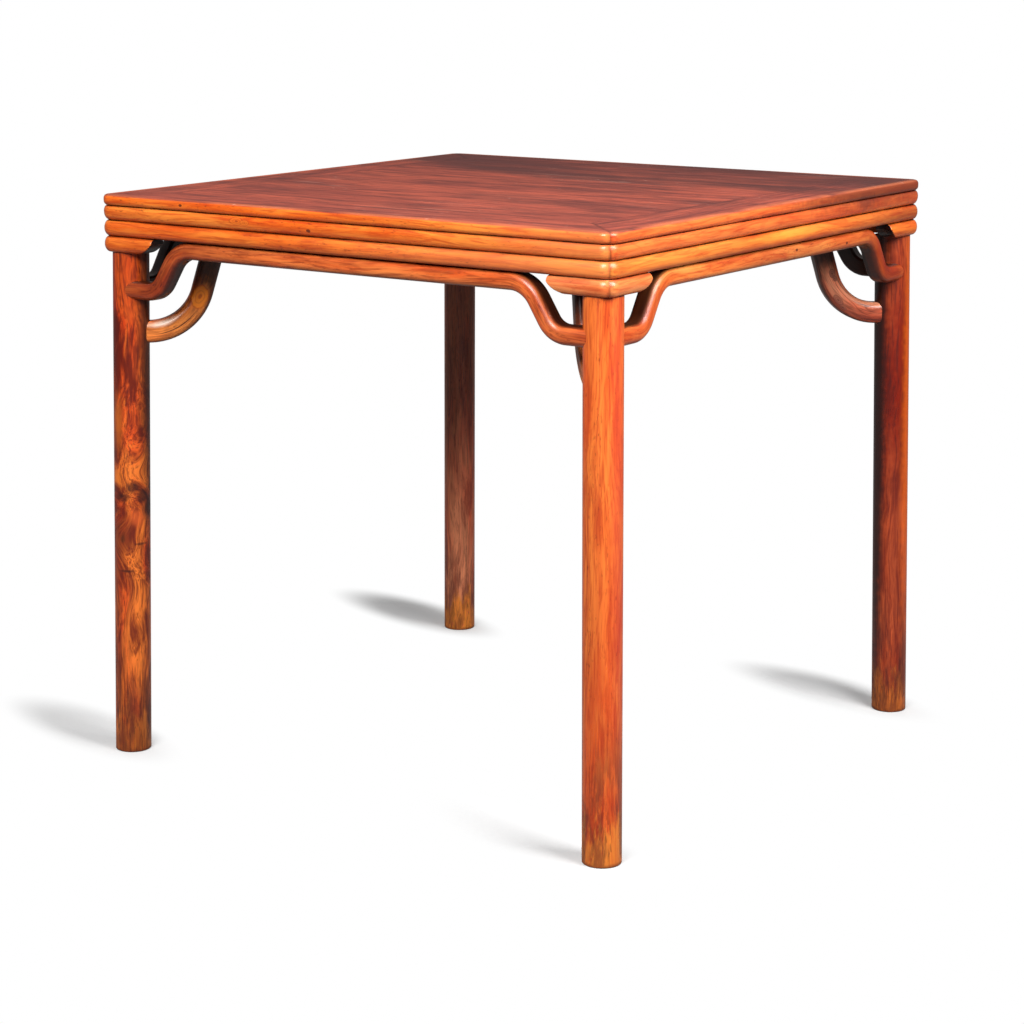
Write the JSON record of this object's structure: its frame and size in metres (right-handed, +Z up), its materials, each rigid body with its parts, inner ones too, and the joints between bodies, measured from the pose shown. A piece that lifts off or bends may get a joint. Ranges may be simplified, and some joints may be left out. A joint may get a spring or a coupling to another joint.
{
  "type": "square dining table",
  "caption": "Square hardwood dining table with a beaded mitred frame, floating panel, round splayed legs, hump-backed stretchers and curved inner braces, for seated meals.",
  "frame": {"origin": "on the floor under the middle of the top", "axes": "+Z up; X along the long rails and the grain of the top; -Y is the side on the left in the picture"},
  "size_m": [0.922, 0.922, 0.864],
  "materials": {
    "frame_rail": "polished",
    "panel": "polished, a little worn",
    "batten": "plain planed",
    "edge_strip": "polished",
    "corner_cap": "polished",
    "leg": "polished",
    "stretcher": "polished",
    "brace": "polished",
    "peg": "plain"
  },
  "bodies": {
    "root": {"back_long_rail": "frame_rail", "batten_left": "batten", "batten_middle": "batten", "batten_right": "batten", "brace_back_left": "brace", "brace_back_right": "brace", "brace_front_left": "brace", "brace_front_right": "brace", "brace_pegs": "peg", "brace_wedges": "peg", "cap_keys": "peg", "corner_cap_back_left": "corner_cap", "corner_cap_back_right": "corner_cap", "corner_cap_front_left": "corner_cap", "corner_cap_front_right": "corner_cap", "corner_cap_left_back": "corner_cap", "corner_cap_left_front": "corner_cap", "corner_cap_right_back": "corner_cap", "corner_cap_right_front": "corner_cap", "edge_strip_back": "edge_strip", "edge_strip_front": "edge_strip", "edge_strip_left": "edge_strip", "edge_strip_right": "edge_strip", "front_long_rail": "frame_rail", "left_end_rail": "frame_rail", "leg_back_left": "leg", "leg_back_right": "leg", "leg_front_left": "leg", "leg_front_right": "leg", "panel_board_back": "panel", "panel_board_front": "panel", "panel_board_middle": "panel", "right_end_rail": "frame_rail", "stretcher_back": "stretcher", "stretcher_front": "stretcher", "stretcher_keys": "peg", "stretcher_left": "stretcher", "stretcher_right": "stretcher", "strip_keys": "peg"}
  },
  "joints": []
}
